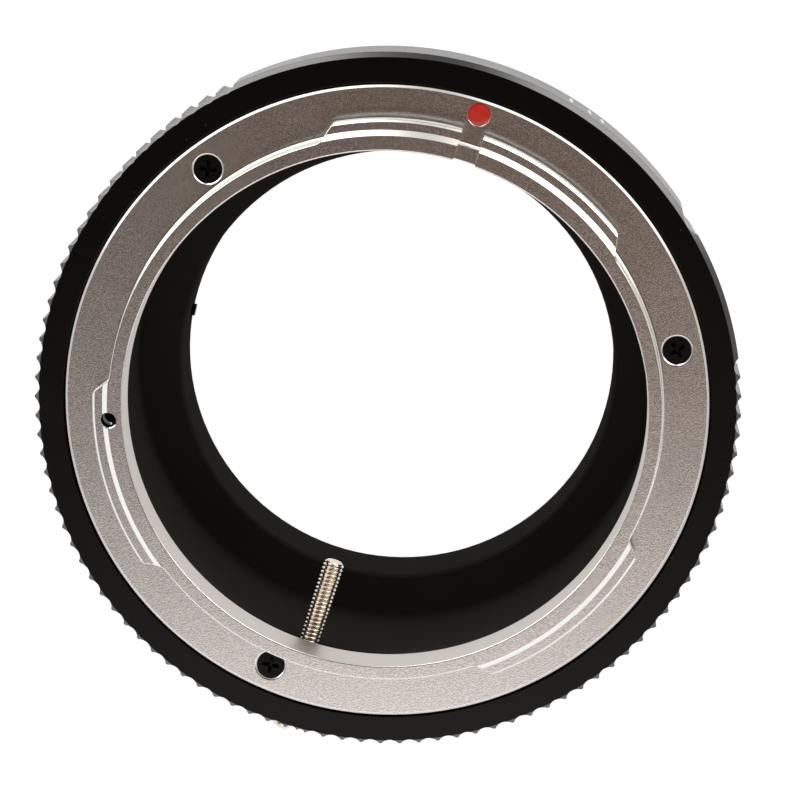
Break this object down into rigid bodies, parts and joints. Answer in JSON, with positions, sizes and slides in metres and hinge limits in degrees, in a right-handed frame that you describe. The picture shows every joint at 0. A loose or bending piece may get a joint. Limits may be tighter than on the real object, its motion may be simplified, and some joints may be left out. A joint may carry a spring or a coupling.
{
  "type": "lens mount adapter",
  "caption": "Short round adapter that carries a breech-lock lens on a mirrorless camera bayonet, with a knurled ring that turns a threaded stud inside the bore.",
  "frame": {"origin": "on the optical axis at the end of the camera bayonet", "axes": "+Z along the optical axis towards the lens, +Y towards the red index dot of the lens side"},
  "size_m": [0.065, 0.0665, 0.0285],
  "materials": {
    "black_anodised": "matte black anodised",
    "satin_chrome": "bead blasted satin chrome plate with bright edges",
    "black_screw": "black oxide",
    "red_enamel": "gloss enamel",
    "black_ring": "satin black anodised",
    "nickel": "nickel plated",
    "bayonet_chrome": "satin chrome plate, matte black inside",
    "steel_screw": "bright steel",
    "white_enamel": "gloss enamel"
  },
  "bodies": {
    "barrel": {"main_barrel": "black_anodised", "lens_mount_ring": "satin_chrome", "lens_mount_screws": "black_screw", "lens_index_dot": "red_enamel", "camera_bayonet": "bayonet_chrome", "camera_mount_screws": "steel_screw", "bayonet_stop_screw": "black_screw", "camera_index_dot": "white_enamel"},
    "turning_ring": {"aperture_ring": "black_ring", "aperture_pin": "nickel"}
  },
  "joints": [
    {"name": "ring_turn", "type": "hinge", "parent": "barrel", "child": "turning_ring", "pos_m": [0, 0, 0.0227], "axis": [0, 0, 1], "range_deg": [-20, 20]}
  ]
}
